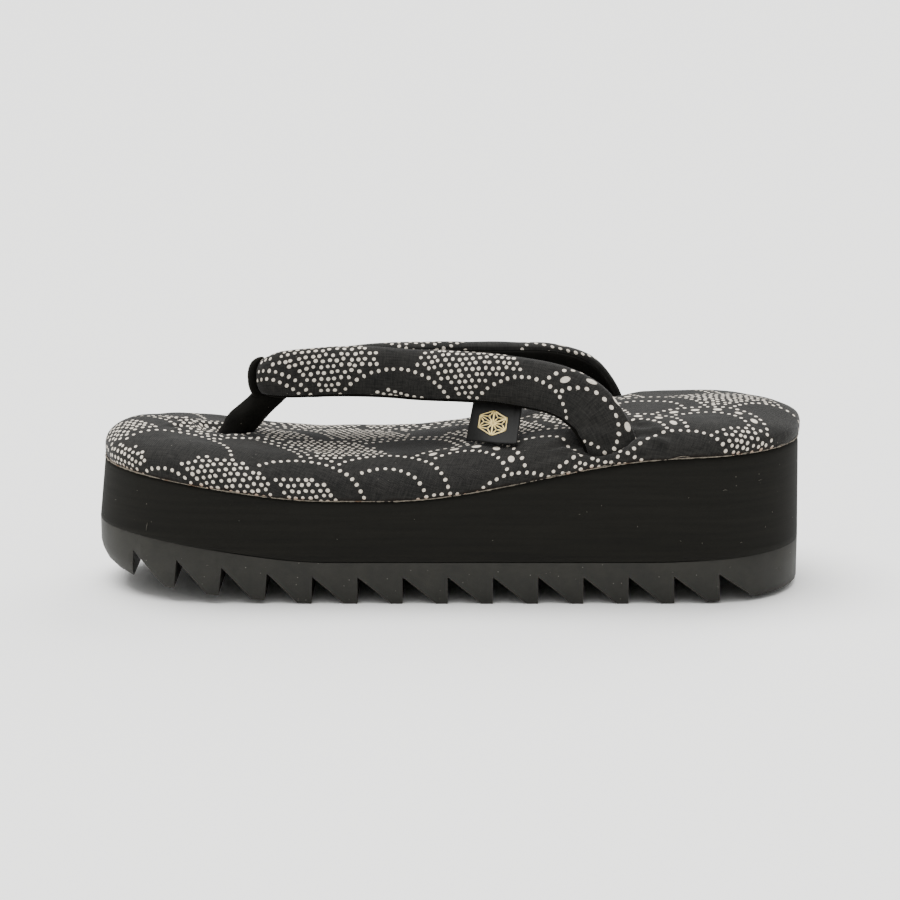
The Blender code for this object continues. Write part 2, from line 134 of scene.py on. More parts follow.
def make_tread():
    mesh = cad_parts["outsole"].data.copy()
    shape = bmesh.new()
    shape.from_mesh(mesh)
    bmesh.ops.remove_doubles(shape, verts=shape.verts, dist=0.01 * MM)
    bmesh.ops.dissolve_limit(shape, angle_limit=radians(1.5), verts=shape.verts, edges=shape.edges)
    shape.to_mesh(mesh)
    shape.free()
    mesh.shade_smooth()
    tread = show("tread", mesh, moulded_rubber("moulded_rubber", "#141412", "#34332E"),
                 moulded_rubber("rubbed_rubber", "#3E3D38", "#6A675E"))
    edges = tread.modifiers.new("rubbed edges of the teeth", "BEVEL")
    edges.width = TOOTH_EDGE
    edges.segments = 2
    edges.limit_method = "ANGLE"
    edges.angle_limit = radians(35)
    edges.material = 1
    edges.harden_normals = True
    return tread


tread = make_tread()
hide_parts("outsole")

# Platform
# A block of black closed-cell foam, cut to the outline of the deck, low under the forefoot and
# high under the heel. Its sides are ground: dead matt, with faint level marks of the wheel.

platform_low, platform_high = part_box("midsole")
LENGTH = platform_high.x - platform_low.x
WIDTH = platform_high.y - platform_low.y
TOE_ROUND = 44 * MM
HEEL_ROUND = 38 * MM
END_POWER = 2.15
END_STEPS = 84
SIDE_STEPS = 262

TREAD = 15 * MM
TREAD_TOE = 17.5 * MM
TOE_LIFT = 6.8 * MM
HEEL_LIFT = 2.2 * MM
FORE_FOAM = 21.3 * MM
HEEL_FOAM = 36.2 * MM
TOE_RAKE = 2.4 * MM
HEEL_RAKE = 0.8 * MM
GAP = 0.3 * MM
FOAM_EDGE = 0.5 * MM
FOAM_SEAT = 0.28 * MM       # sinks over the rounded upper edge of the tread
FOAM_LEVELS = 16

Ease = namedtuple("Ease", "start end")
TOE_SPRING = Ease(0.335, 0.0)
HEEL_SPRING = Ease(0.77, 1.0)
HEEL_RISE = Ease(0.413, 0.825)


def ease(share):
    """Smooth step from 0 to 1."""
    share = min(max(share, 0.0), 1.0)
    return share * share * (3 - 2 * share)


def place_along(share):
    """X of a share of the length counted from the toe."""
    return (share - 0.5) * LENGTH


def progress(x, span):
    return ease((x / LENGTH + 0.5 - span.start) / (span.end - span.start))


def tread_top(x):
    toe = progress(x, TOE_SPRING)
    return TREAD + (TREAD_TOE - TREAD + TOE_LIFT) * toe + HEEL_LIFT * progress(x, HEEL_SPRING)


def foam_top(x):
    return tread_top(x) + GAP + FORE_FOAM + (HEEL_FOAM - FORE_FOAM) * progress(x, HEEL_RISE)


def sole_loop(inset=0.0, toe_back=0.0, heel_back=0.0):
    """Edge of the sole seen from above, from the tip of the toe round by +Y to the heel and back."""
    toe_centre = -LENGTH / 2 + TOE_ROUND
    heel_centre = LENGTH / 2 - HEEL_ROUND
    toe_reach = TOE_ROUND - toe_back - inset
    heel_reach = HEEL_ROUND - heel_back - inset
    half = WIDTH / 2 - inset
    power = 2 / END_POWER
    side = []
    for step in range(END_STEPS):
        turn = pi / 2 * step / END_STEPS
        side.append((toe_centre - toe_reach * cos(turn) ** power, half * sin(turn) ** power))
    for step in range(SIDE_STEPS + 1):
        side.append((toe_centre + (heel_centre - toe_centre) * step / SIDE_STEPS, half))
    for step in range(END_STEPS - 1, 0, -1):
        turn = pi / 2 * step / END_STEPS
        side.append((heel_centre + heel_reach * cos(turn) ** power, half * sin(turn) ** power))
    side.append((heel_centre + heel_reach, 0.0))
    return side + [(x, -y) for x, y in reversed(side[1:-1])]


def join_loops(loop_count, count, first=0):
    """Quads between neighbouring closed loops of count points each, from a first point on."""
    faces = []
    for low in range(first, first + (loop_count - 1) * count, count):
        for index in range(count):
            after = (index + 1) % count
            faces.append((low + index, low + after, low + count + after, low + count + index))
    return faces


def lay_across(points, faces, first, count, columns, height):
    """Closes a loop round the sole with rows straight across it, of a number of columns."""
    last = count // 2
    rows = [[first]]
    for index in range(1, last):
        x, reach = points[first + index][0], points[first + index][1]
        row = [first + index]
        for column in range(1, columns):
            y = reach * (1 - 2 * column / columns)
            row.append(len(points))
            points.append((x, y, height(x, y)))
        row.append(first + count - index)
        rows.append(row)
    rows.append([first + last])
    for row, after in zip(rows, rows[1:]):
        for column in range(columns):
            corners = (row[min(column, len(row) - 1)], row[min(column + 1, len(row) - 1)],
                       after[min(column + 1, len(after) - 1)], after[min(column, len(after) - 1)])
            faces.append(tuple(dict.fromkeys(corners)))


def closed_mesh(name, points, faces):
    """A smooth mesh of one closed body, its faces turned outwards."""
    mesh = bpy.data.meshes.new(name)
    mesh.from_pydata([tuple(point) for point in points], [], faces)
    shape = bmesh.new()
    shape.from_mesh(mesh)
    bmesh.ops.recalc_face_normals(shape, faces=shape.faces)
    shape.to_mesh(mesh)
    shape.free()
    mesh.shade_smooth()
    return mesh


def show_body(name, points, faces, material):
    return show(name, closed_mesh(name, points, faces), material)


def ground_foam():
    """EVA foam, ground: IOR 1.48, dead matt, its cut cells 0.3 mm across, wheel marks along it."""
    material, tree, place = start_material("ground_foam")
    drawn = add(tree, "Mapping", {
        "Vector": place, "Scale": (1 / (45 * MM), 1 / (45 * MM), 1 / (1.6 * MM))})
    marks = add(tree, "TexNoise", {"Vector": drawn, "Scale": 1.0, "Detail": 4.0, "Roughness": 0.6})
    cells = add(tree, "TexNoise", {"Vector": place, "Scale": 1 / (0.5 * MM), "Detail": 3.0})
    black = add(tree, "MixRGB", {"Fac": marks, "Color1": "#0D0D0B", "Color2": "#1C1B17"})
    dust = specks(tree, place, 3.2 * MM, 0.24 * MM, 0.45)
    dusty = add(tree, "MixRGB", {"Fac": dust, "Color1": black, "Color2": "#55524B"})
    height = add(tree, "Math", {0: marks, 1: 1.5, 2: cells}, operation="MULTIPLY_ADD")
    return close_material(material, {
        "Base Color": dusty, "IOR": 1.48, "Roughness": 0.82, "Specular IOR Level": 0.15},
        height, 0.5, 0.10 * MM)


def make_platform():
    points = []
    for level in range(FOAM_LEVELS + 1):
        up = level / FOAM_LEVELS
        rounding = FOAM_EDGE * (1 - sqrt(1 - max(2 * up - 1, 0.0) ** 24))
        loop = sole_loop(rounding, TOE_RAKE * up, HEEL_RAKE * up)
        for x, y in loop:
            low = tread_top(x) - FOAM_SEAT
            points.append((x, y, low + (foam_top(x) - low) * up))
    count = len(loop)
    faces = join_loops(FOAM_LEVELS + 1, count)
    lay_across(points, faces, 0, count, 1, None)
    lay_across(points, faces, FOAM_LEVELS * count, count, 1, None)
    return show_body("platform", points, faces, ground_foam())


platform = make_platform()
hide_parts("midsole")

# Deck
# A board padded with felt and covered in charcoal cotton, which is drawn down over its edge and
# glued under it. The print is resist dyed: rows, scales and fields of pale dots left by the paste.

PAD = 13.6 * MM
PAD_TOE = 11.6 * MM
PAD_HEEL = 10.7 * MM
PAD_ROLL = 16 * MM
PAD_ROLL_HEEL = 26 * MM
PAD_BULGE = 0.6 * MM
PAD_BULGE_HEIGHT = 2.4 * MM
PAD_DOME = 1.5 * MM
PAD_TOE_FALL = Ease(0.37, 0.05)
PAD_HEEL_FALL = Ease(0.45, 0.95)
SKIRT_STEPS = 5
GLUE_REACH = 3.2 * MM       # how far glue has crept up from the cloth's cut edge
ROLL_STEPS = 38
DECK_COLUMNS = 68

# Dips in the padding: place, reach and depth as shares of the length, the half width, the thickness
Hollow = namedtuple("Hollow", "along out reach_along reach_out depth")
HOLLOWS = (
    Hollow(0.714, 0.85, 0.080, 0.42, 0.40),
    Hollow(0.190, 0.0, 0.060, 0.30, 0.05),
    Hollow(0.42, 0.0, 0.260, 0.90, 0.06),
)

# Where strap and thong go down through the cloth and pull it in round them, in millimetres
Tuck = namedtuple("Tuck", "x y half_x half_y depth")
TUCKS = (
    Tuck(52, -31, 9.0, 4.2, 2.3),
    Tuck(52, 31, 9.0, 4.2, 2.3),
    Tuck(-82, 0, 6.6, 5.2, 1.9),
)
TUCK_FADE = 0.32            # how soon a pull ends outside its oval, as a share of the oval's size

# Soft creases in the cloth, in millimetres, with their turn in degrees from the toe-heel line
Crease = namedtuple("Crease", "u v length turn depth width")
DECK_CREASES = (
    Crease(39, -33, 14, 24, 0.75, 1.6),
    Crease(36, -38, 12, 12, 0.50, 1.4),
    Crease(44, -26, 10, 52, 0.55, 1.5),
    Crease(69, -34, 12, -20, 0.65, 1.5),
    Crease(72, -40, 10, -34, 0.45, 1.3),
    Crease(66, -27, 9, -48, 0.45, 1.4),
    Crease(40, 33, 13, -22, 0.65, 1.6),
    Crease(44, 26, 9, -50, 0.50, 1.4),
    Crease(69, 35, 12, 18, 0.60, 1.5),
    Crease(67, 28, 9, 44, 0.45, 1.4),
    Crease(-95, -6, 8, 38, 0.60, 1.3),
    Crease(-95, 7, 8, -30, 0.50, 1.3),
    Crease(-97, 1, 8, 4, 0.40, 1.2),
    Crease(-70, -8, 9, -38, 0.60, 1.4),
    Crease(-70, 9, 8, 40, 0.50, 1.4),
    Crease(-80, -12, 8, 84, 0.40, 1.3),
    Crease(-80, 12, 8, -80, 0.35, 1.3),
)

RIDGE = 0.6                 # height of the ridges beside a crease, as a share of its depth
RIDGE_OFF = 1.9             # from its middle, in widths
DECK_LUMP = 0.35 * MM
DECK_LUMP_SIZE = 13 * MM


def bell(off):
    """1 in the middle, falling away softly to either side."""
    return 2.718 ** (-off ** 2)


def deck_top(x, y, inset):
    """Height of the cloth before its creases, at a distance in from the edge of the sole."""
    out = min(max((PAD_ROLL - inset) / (PAD_ROLL + PAD_BULGE), 0.0), 1.0)
    crown = (PAD - (PAD - PAD_TOE) * progress(x, PAD_TOE_FALL)
             - (PAD - PAD_HEEL) * progress(x, PAD_HEEL_FALL))
    thickness = PAD_BULGE_HEIGHT + (crown - PAD_BULGE_HEIGHT) * sqrt(1 - out * out)
    thickness += PAD_DOME * ease(1 - abs(y) / (WIDTH / 2 - PAD_ROLL))
    for row in HOLLOWS:
        away_x = (x / LENGTH + 0.5 - row.along) / row.reach_along
        away_y = (abs(y) / (WIDTH / 2) - row.out) / row.reach_out
        thickness *= 1 - row.depth * ease(1 - sqrt(away_x ** 2 + away_y ** 2))
    for row in TUCKS:
        away_x = (x - row.x * MM) / (row.half_x * MM)
        away_y = (y - row.y * MM) / (row.half_y * MM)
        thickness -= row.depth * MM * bell(max(hypot(away_x, away_y) - 1, 0.0) / TUCK_FADE)
    return foam_top(x) + GAP + thickness


def deck_loop(height, inset):
    longer = max(inset, 0.0) * (PAD_ROLL_HEEL / PAD_ROLL - 1)
    loop = sole_loop(inset, TOE_RAKE + PAD_BULGE, HEEL_RAKE + longer)
    return [(x, y, height(x, y)) for x, y in loop]


def deck_points():
    """Loops of the deck from its seat on the foam, out over the bulge and in over the roll."""
    loops = []
    for step in range(SKIRT_STEPS):
        up = step / SKIRT_STEPS
        lift = 0.15 * GAP + PAD_BULGE_HEIGHT * up
        loops.append(deck_loop(lambda x, y: foam_top(x) + lift, -PAD_BULGE * sin(pi / 2 * up)))
    for step in range(ROLL_STEPS + 1):
        turn = pi / 2 * step / ROLL_STEPS
        inset = -PAD_BULGE + (PAD_ROLL + PAD_BULGE) * (1 - cos(turn))
        loops.append(deck_loop(lambda x, y: deck_top(x, y, inset), inset))
    return loops


def cloth_places(points, loops):
    """Place of each deck point on the cloth laid flat: what runs down the roll is unrolled outwards."""
    flat = np.array([(x, y) for x, y, z in points])
    path = np.array(loops)
    run = np.linalg.norm(np.diff(path, axis=0), axis=2)[::-1].cumsum(axis=0)[::-1]
    outward = path[0, :, :2] - path[-1, :, :2]
    outward /= np.linalg.norm(outward, axis=1)[:, None]
    for level in range(len(loops) - 1):
        count = len(loops[0])
        flat[level * count:(level + 1) * count] = path[-1, :, :2] + outward * run[level][:, None]
    return flat


def push_cloth(mesh, cloth, creases, lump, lump_size):
    """Presses the creases into the cloth and gives its padding soft lumps, along its normals."""
    normals = np.empty(3 * len(mesh.vertices))
    places = np.empty(3 * len(mesh.vertices))
    mesh.vertex_normals.foreach_get("vector", normals)
    mesh.vertices.foreach_get("co", places)
    normals = normals.reshape(-1, 3)
    places = places.reshape(-1, 3)
    push = np.array([lump * noise.noise(Vector(place) / lump_size) for place in places])
    for row in creases:
        turn = radians(row.turn)
        away = cloth - (row.u * MM, row.v * MM)
        down = away @ (cos(turn), sin(turn)) / (row.length * MM)
        across = away @ (-sin(turn), cos(turn)) / (row.width * MM)
        fade = np.clip(1 - down ** 2, 0, None) ** 2
        ridges = RIDGE * np.exp(-(np.abs(across) - RIDGE_OFF) ** 2)
        push += row.depth * MM * fade * (ridges - np.exp(-across ** 2))
    mesh.vertices.foreach_set("co", (places + normals * push[:, None]).ravel())
    mesh.update()


# The print, laid out on the flat cloth: overlapping scales, each with rows of dots, a row of grains
# or a field of dots. Every row of the table is one kind of scale, with its radii as shares of SCALE.
SCALE = 25 * MM
DOT = 0.67 * MM             # radius
ROW_PITCH = 2.75 * MM
FIELD_PITCH = 2.45 * MM
FIELD_ROW = 0.866           # height of a row of a field, in pitches
GRAIN_LONG = 1.6 * MM
GRAIN_WIDE = 1.05 * MM
GRAIN_PITCH = 8.2 * MM
DRIFT = 0.12 * MM           # how far a dot may lie from its place in a row
FIELD_DRIFT = 0.32 * MM     # and in a field
FIELD_CLEAR = 0.5 * MM      # between a field and the scale in front of it
WAVER = 0.9 * MM            # of the rows, where the cloth gave under the stencil
DECK_PRINT_TURN = 0.33      # radians
DECK_PRINT_SHIFT = (7 * MM, 4 * MM)
STRAP_PRINT_SHIFT = (15 * MM, 45 * MM)
Wave = namedtuple("Wave", "rows grains field")
WAVES = (
    Wave((0.94, 0.68), 0.81, 0.0),
    Wave((0.94,), 0.0, 0.0),
    Wave((), 0.0, 0.94),
    Wave((0.94, 0.82), 0.0, 0.0),
    Wave((0.94,), 0.0, 0.86),
    Wave((0.94,), 0.0, 0.0),
    Wave((), 0.0, 0.94),
    Wave((0.94, 0.62), 0.0, 0.0),
    Wave((0.94, 0.68), 0.81, 0.0),
    Wave((0.94,), 0.0, 0.66),
)


def wave_over(u, v, spread=0.0):
    """Row and column of the front scale over a place; spread makes the scales larger."""
    reach = SCALE + spread
    row = ceil((v - reach) / (SCALE / 2))
    while True:
        shift = row % 2
        column = round((u / SCALE - shift) / 2)
        if hypot(u - (2 * column + shift) * SCALE, v - row * SCALE / 2) < reach:
            return row, column
        row += 1


def scale_dots(low, high, seed):
    """Dots of the print between two corners: place, half length, half width and turn of each."""
    rng = np.random.default_rng(seed)
    dots = []
    for row in range(floor(low[1] / (SCALE / 2)) - 2, ceil(high[1] / (SCALE / 2)) + 1):
        shift = row % 2
        for column in range(floor(low[0] / SCALE / 2) - 1, ceil(high[0] / SCALE / 2) + 2):
            kind = WAVES[(4 * column + 3 * row + row // 4) % len(WAVES)]
            centre = np.array(((2 * column + shift) * SCALE, row * SCALE / 2))
            rows = [(share, ROW_PITCH, DOT, DOT) for share in kind.rows]
            if kind.grains:
                rows.append((kind.grains, GRAIN_PITCH, GRAIN_WIDE, GRAIN_LONG))
            for share, pitch, long, wide in rows:
                count = round(2 * pi * share * SCALE / pitch)
                for step in range(count):
                    turn = 2 * pi * step / count
                    at = centre + share * SCALE * np.array((cos(turn), sin(turn)))
                    dots.append((row, column, *at, long, wide, turn, 0.0))
            if kind.field:
                tilt = rng.uniform(0, pi / 3)
                steps = ceil(SCALE / FIELD_PITCH) + 3
                for a in range(-steps, steps + 1):
                    for b in range(-steps, steps + 1):
                        across = (a + 0.5 * (b % 2)) * FIELD_PITCH
                        up = b * FIELD_PITCH * FIELD_ROW
                        off = np.array((across * cos(tilt) - up * sin(tilt),
                                        across * sin(tilt) + up * cos(tilt)))
                        off += rng.uniform(-FIELD_DRIFT, FIELD_DRIFT, 2)
                        if np.linalg.norm(off) < kind.field * SCALE:
                            dots.append((row, column, *(centre + off), DOT, DOT, 0.0, FIELD_CLEAR))
    kept = []
    for row, column, u, v, long, wide, turn, clear in dots:
        if low[0] < u < high[0] and low[1] < v < high[1] and wave_over(u, v, clear) == (row, column):
            u += WAVER * sin(v / (9 * MM)) + rng.uniform(-DRIFT, DRIFT)
            v += WAVER * sin(u / (13 * MM)) + rng.uniform(-DRIFT, DRIFT)
            kept.append((u, v, long * rng.uniform(0.88, 1.14), wide * rng.uniform(0.86, 1.10), turn))
    return np.array(kept)


def print_cloth(mesh, cloth, dots):
    """Gives each face its place on the cloth, and its place from the nearest dot in that dot's sizes."""
    corners = np.empty(len(mesh.loops), int)
    firsts = np.empty(len(mesh.polygons), int)
    counts = np.empty(len(mesh.polygons), int)
    mesh.loops.foreach_get("vertex_index", corners)
    mesh.polygons.foreach_get("loop_start", firsts)
    mesh.polygons.foreach_get("loop_total", counts)
    at = cloth[corners]
    middles = np.add.reduceat(at, firsts) / counts[:, None]
    tree = KDTree(len(dots))
    for index, dot in enumerate(dots):
        tree.insert((dot[0], dot[1], 0.0), index)
    tree.balance()
    nearest = np.array([tree.find((u, v, 0.0))[1] for u, v in middles])
    chosen = dots[np.repeat(nearest, counts)]
    away = at - chosen[:, :2]
    turn = chosen[:, 4]
    down = (away[:, 0] * np.cos(turn) + away[:, 1] * np.sin(turn)) / chosen[:, 2]
    across = (away[:, 1] * np.cos(turn) - away[:, 0] * np.sin(turn)) / chosen[:, 3]
    mesh.uv_layers.new(name="cloth").uv.foreach_set("vector", at.ravel())
    mesh.uv_layers.new(name="dots").uv.foreach_set("vector", np.stack((down, across), 1).ravel())


THREAD = 0.8 * MM           # drawn about twice as coarse as the real weave, which wouldn't show


def weave(tree, cloth, pitch):
    """Height of a plain weave: threads over and under, one pitch apart."""
    parts = add(tree, "SeparateXYZ", {"Vector": cloth})
    waves = []
    for axis in ("X", "Y"):
        turns = add(tree, "Math", {0: parts.outputs[axis], 1: 2 * pi / pitch}, operation="MULTIPLY")
        waves.append(add(tree, "Math", {0: turns}, operation="SINE"))
    return add(tree, "Math", {0: waves[0], 1: waves[1]}, operation="MULTIPLY")


def slubs(tree, cloth, long, thick):
    """Uneven threads: noise drawn out along the cloth in one direction."""
    drawn = add(tree, "Mapping", {"Vector": cloth, "Scale": (1 / long, 1 / thick, 1.0)})
    return add(tree, "TexNoise", {"Vector": drawn, "Scale": 1.0, "Detail": 2.0})


def printed_cotton():
    """Cotton, plain woven and resist dyed: a dull charcoal with uneven threads and pale soft-edged dots."""
    material, tree, place = start_material("printed_cotton")
    cloth = add(tree, "UVMap", uv_map="cloth")
    warp = slubs(tree, cloth, 5 * MM, 0.5 * MM)
    weft = slubs(tree, cloth, 0.5 * MM, 4 * MM)
    threads = add(tree, "Math", {0: warp, 1: weft}, operation="ADD")
    fade = add(tree, "TexNoise", {"Vector": place, "Scale": 1 / (16 * MM), "Detail": 4.0})
    depth = add(tree, "Math", {0: fade, 1: 0.5, 2: threads}, operation="MULTIPLY_ADD")
    shade = add(tree, "MapRange", {"Value": depth, "From Min": 0.95, "From Max": 1.55})
    dyed = add(tree, "MixRGB", {"Fac": shade, "Color1": "#171716", "Color2": "#2C2B29"})
    pale = add(tree, "MixRGB", {"Fac": shade, "Color1": "#C4BBAD", "Color2": "#E6DED1"})
    spot = add(tree, "UVMap", uv_map="dots")
    radius = add(tree, "VectorMath", {0: spot}, operation="LENGTH").outputs["Value"]
    ragged = add(tree, "Math", {0: threads, 1: 0.22, 2: radius}, operation="MULTIPLY_ADD")
    paste = add(tree, "MapRange", {"Value": ragged, "From Min": 1.30, "From Max": 1.08})
    dotted = add(tree, "MixRGB", {"Fac": paste, "Color1": dyed, "Color2": pale})
    lint = specks(tree, place, 3.0 * MM, 0.20 * MM, 0.4)
    linty = add(tree, "MixRGB", {"Fac": lint, "Color1": dotted, "Color2": "#77746C"})
    near = add(tree, "Attribute", attribute_name="near_cut").outputs["Fac"]
    blot = add(tree, "TexNoise", {"Vector": place, "Scale": 1 / (4 * MM), "Detail": 4.0})
    reach = add(tree, "Math", {0: near, 1: blot}, operation="ADD")
    glued = add(tree, "MapRange", {"Value": reach, "From Min": 1.02, "From Max": 1.40, "To Max": 0.75})
    stained = add(tree, "MixRGB", {
        "Fac": glued, "Color1": linty, "Color2": "#8A5A30"}, blend_type="MULTIPLY")
    over = weave(tree, cloth, THREAD)
    woven = add(tree, "Math", {0: threads, 1: 0.8, 2: over}, operation="MULTIPLY_ADD")
    return close_material(material, {
        "Base Color": stained, "Roughness": 0.92, "IOR": 1.45, "Specular IOR Level": 0.2,
        "Sheen Weight": 0.16, "Sheen Roughness": 0.25}, woven, 0.55, 0.10 * MM)


def make_deck():
    loops = deck_points()
    points = [point for loop in loops for point in loop]
    count = len(loops[0])
    faces = join_loops(len(loops), count)
    lay_across(points, faces, 0, count, 1, None)
    lay_across(points, faces, (len(loops) - 1) * count, count, DECK_COLUMNS,
               lambda x, y: deck_top(x, y, PAD_ROLL))
    mesh = closed_mesh("deck", points, faces)
    cloth = cloth_places(points, loops)
    push_cloth(mesh, cloth, DECK_CREASES, DECK_LUMP, DECK_LUMP_SIZE)
    heights = np.array([(z - foam_top(x)) / GLUE_REACH for x, y, z in points])
    mesh.attributes.new("near_cut", "FLOAT", "POINT").data.foreach_set("value", np.clip(1 - heights, 0, 1))
    ahead = np.array((cos(DECK_PRINT_TURN), sin(DECK_PRINT_TURN)))
    turned = cloth @ np.array((ahead, (-ahead[1], ahead[0]))) + DECK_PRINT_SHIFT
    print_cloth(mesh, turned, scale_dots(turned.min(0), turned.max(0), 3))
    return show("deck", mesh, cotton)


cotton = printed_cotton()
deck = make_deck()
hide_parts("footbed")

# Strap
# A tube of the same cotton and of velvet, stuffed with felt and bent double at the front. The
# cotton faces out and turns over the top edge; the velvet lines it where it lies on the foot.

STRAP_TALL = 18.4 * MM
STRAP_THICK = 10.6 * MM
STRAP_RISE = 27 * MM
ARM_GAP = 1.0 * MM          # between the two arms at the bend
BEND_DROP = 0.7 * MM        # how far the thong draws the bend down
BEND_PINCH = 0.14           # and how much less tall it makes it, as a share
FAR_DROP = 2.5 * MM         # how much lower the far arm lies beside the near one
FAR_DROP_HELD = 10 * MM     # from the bend
FAR_DROP_FADE = 36 * MM
STRAP_POWER = 2.3           # 2 gives an oval section, more a fuller one
STRAP_SIDES = 80
STATION = 0.6 * MM
ARM_STEPS = 40              # rows worked out between two rows of ARM
ARM_SOFTENING = 60          # rounds of smoothing of the arm's line
BEND_STATIONS = 54
SEAM_TOP = 128              # turn of the seams round the section, from straight out over the top
SEAM_BELOW = 292
SEAM_DEPTH = 0.45 * MM
SEAM_WIDTH = 5              # degrees
STRAP_LUMP = 0.30 * MM
STRAP_LUMP_SIZE = 12 * MM

# The near arm from bend to foot, in shares: how far along and how far out its middle line is, how
# high over the padding's top or how deep in it, and its section. Its lean is in degrees.
ArmRow = namedtuple("ArmRow", "along spread rise tall thick lean")
ARM = (
    ArmRow(0.266, 0.000, 0.885, 0.88, 0.94, 4),
    ArmRow(0.310, 0.002, 0.942, 0.95, 1.00, 7),
    ArmRow(0.369, 0.005, 0.963, 0.975, 1.00, 8),
    ArmRow(0.431, 0.025, 0.932, 0.975, 1.00, 8),
    ArmRow(0.506, 0.110, 0.853, 0.98, 1.00, 7),
    ArmRow(0.579, 0.245, 0.700, 0.96, 1.00, 5),
    ArmRow(0.644, 0.450, 0.515, 0.95, 0.95, 3),
    ArmRow(0.681, 0.610, 0.315, 0.98, 0.82, 0),
    ArmRow(0.706, 0.727, 0.055, 1.00, 0.64, 0),
    ArmRow(0.720, 0.796, -0.400, 1.00, 0.54, 0),
    ArmRow(0.727, 0.828, -0.910, 1.00, 0.52, 0),
)

# Creases of the strap: u runs from the bend towards a foot, v from the top edge down the cotton
NEAR_CREASES = (
    Crease(24, 6, 9, 70, 0.35, 1.5),
    Crease(31, 14, 8, 108, 0.30, 1.4),
    Crease(118, 13, 10, 118, 0.45, 1.7),
    Crease(126, 10, 10, 104, 0.40, 1.5),
    Crease(132, 15, 8, 90, 0.35, 1.3),
)


def blend(rows, position):
    """Row of a table at a fractional index, on a smooth curve through its rows."""
    index = min(int(position), len(rows) - 2)
    share = position - index
    before = rows[max(index - 1, 0)]
    beyond = rows[min(index + 2, len(rows) - 1)]
    values = []
    for a, b, c, d in zip(before, rows[index], rows[index + 1], beyond):
        values.append(0.5 * (2 * b + (c - a) * share + (2 * a - 5 * b + 4 * c - d) * share ** 2
                             + (3 * b - a - 3 * c + d) * share ** 3))
    return type(rows[0])(*values)


def arm_rows(steps):
    """The ARM table with a number of steps from each of its rows to the next."""
    return [blend(ARM, step / steps) for step in range(steps * (len(ARM) - 1) + 1)]


BEND_RADIUS = STRAP_THICK / 2 + ARM_GAP / 2


def arm_middle(row):
    x = place_along(row.along)
    y = BEND_RADIUS + row.spread * (WIDTH / 2 - BEND_RADIUS)
    return Vector((x, -y, foam_top(x) + PAD + row.rise * (STRAP_RISE if row.rise > 0 else PAD)))


def power_cos(turn, power):
    value = cos(turn)
    return abs(value) ** (2 / power) * (1 if value >= 0 else -1)


def arm_frames():
    """Middle, outward side, upward side, thickness and height of the near arm, one each STATION."""
    rows = arm_rows(ARM_STEPS)
    middles = np.array([arm_middle(row) for row in rows])
    run = np.concatenate(((0.0,), np.cumsum(np.linalg.norm(np.diff(middles, axis=0), axis=1))))
    stations = np.arange(0, run[-1], STATION)
    position = np.interp(stations, run, np.arange(len(rows)) / ARM_STEPS)
    line = np.stack([np.interp(stations, run, middles[:, axis]) for axis in range(3)], 1)
    for repeat in range(ARM_SOFTENING):
        line[1:-1] = (line[:-2] + 2 * line[1:-1] + line[2:]) / 4
    heading = np.gradient(line, axis=0)
    heading[0] = (1, 0, 0)
    frames = []
    for at, direction, index in zip(line, heading, position):
        row = blend(ARM, index)
        ahead = Vector(direction).normalized()
        side = Vector((0, -1, 0))
        side = (side - side.dot(ahead) * ahead).normalized()
        up = side.cross(ahead)
        lean = radians(row.lean)
        frames.append((Vector(at), side * cos(lean) + up * sin(lean), up * cos(lean) - side * sin(lean),
                       row.thick * STRAP_THICK, row.tall * STRAP_TALL))
    return frames


def bend_frame(turn):
    """The same at a turn of the bend from straight ahead."""
    side = Vector((-cos(turn), sin(turn), 0))
    x = place_along(ARM[0].along)
    height = foam_top(x) + PAD + ARM[0].rise * STRAP_RISE - BEND_DROP * cos(turn) ** 2
    height -= FAR_DROP * ease(turn / pi + 0.5)
    middle = Vector((x, 0, height)) + side * BEND_RADIUS
    tip = radians(ARM[0].lean) * abs(sin(turn))
    up = Vector((0, 0, 1)) * cos(tip) - side * sin(tip)
    out = side * cos(tip) + Vector((0, 0, 1)) * sin(tip)
    tall = STRAP_TALL * (ARM[0].tall - BEND_PINCH * cos(turn) ** 2)
    return middle, out, up, STRAP_THICK * ARM[0].thick, tall


def strap_section(middle, out, up, thick, tall):
    """Points round the padded section, drawn in at its two seams."""
    points = []
    for step in range(STRAP_SIDES):
        turn = 2 * pi * step / STRAP_SIDES
        degrees = 360 * step / STRAP_SIDES
        drawn = sum(bell((degrees - seam) / SEAM_WIDTH) for seam in (SEAM_TOP, SEAM_BELOW))
        share = 1 - drawn * SEAM_DEPTH / (thick / 2)
        points.append(middle + out * (thick / 2 * power_cos(turn, STRAP_POWER) * share)
                      + up * (tall / 2 * power_cos(turn - pi / 2, STRAP_POWER) * share))
    return points


def far_arm(rings):
    """Mirror image of the near arm's rings, lower where the two lie side by side."""
    lowered = []
    for index, points in enumerate(rings):
        drop = FAR_DROP * ease(1 - (index * STATION - FAR_DROP_HELD) / FAR_DROP_FADE)
        lowered.append([Vector((point.x, -point.y, point.z - drop)) for point in points])
    return lowered


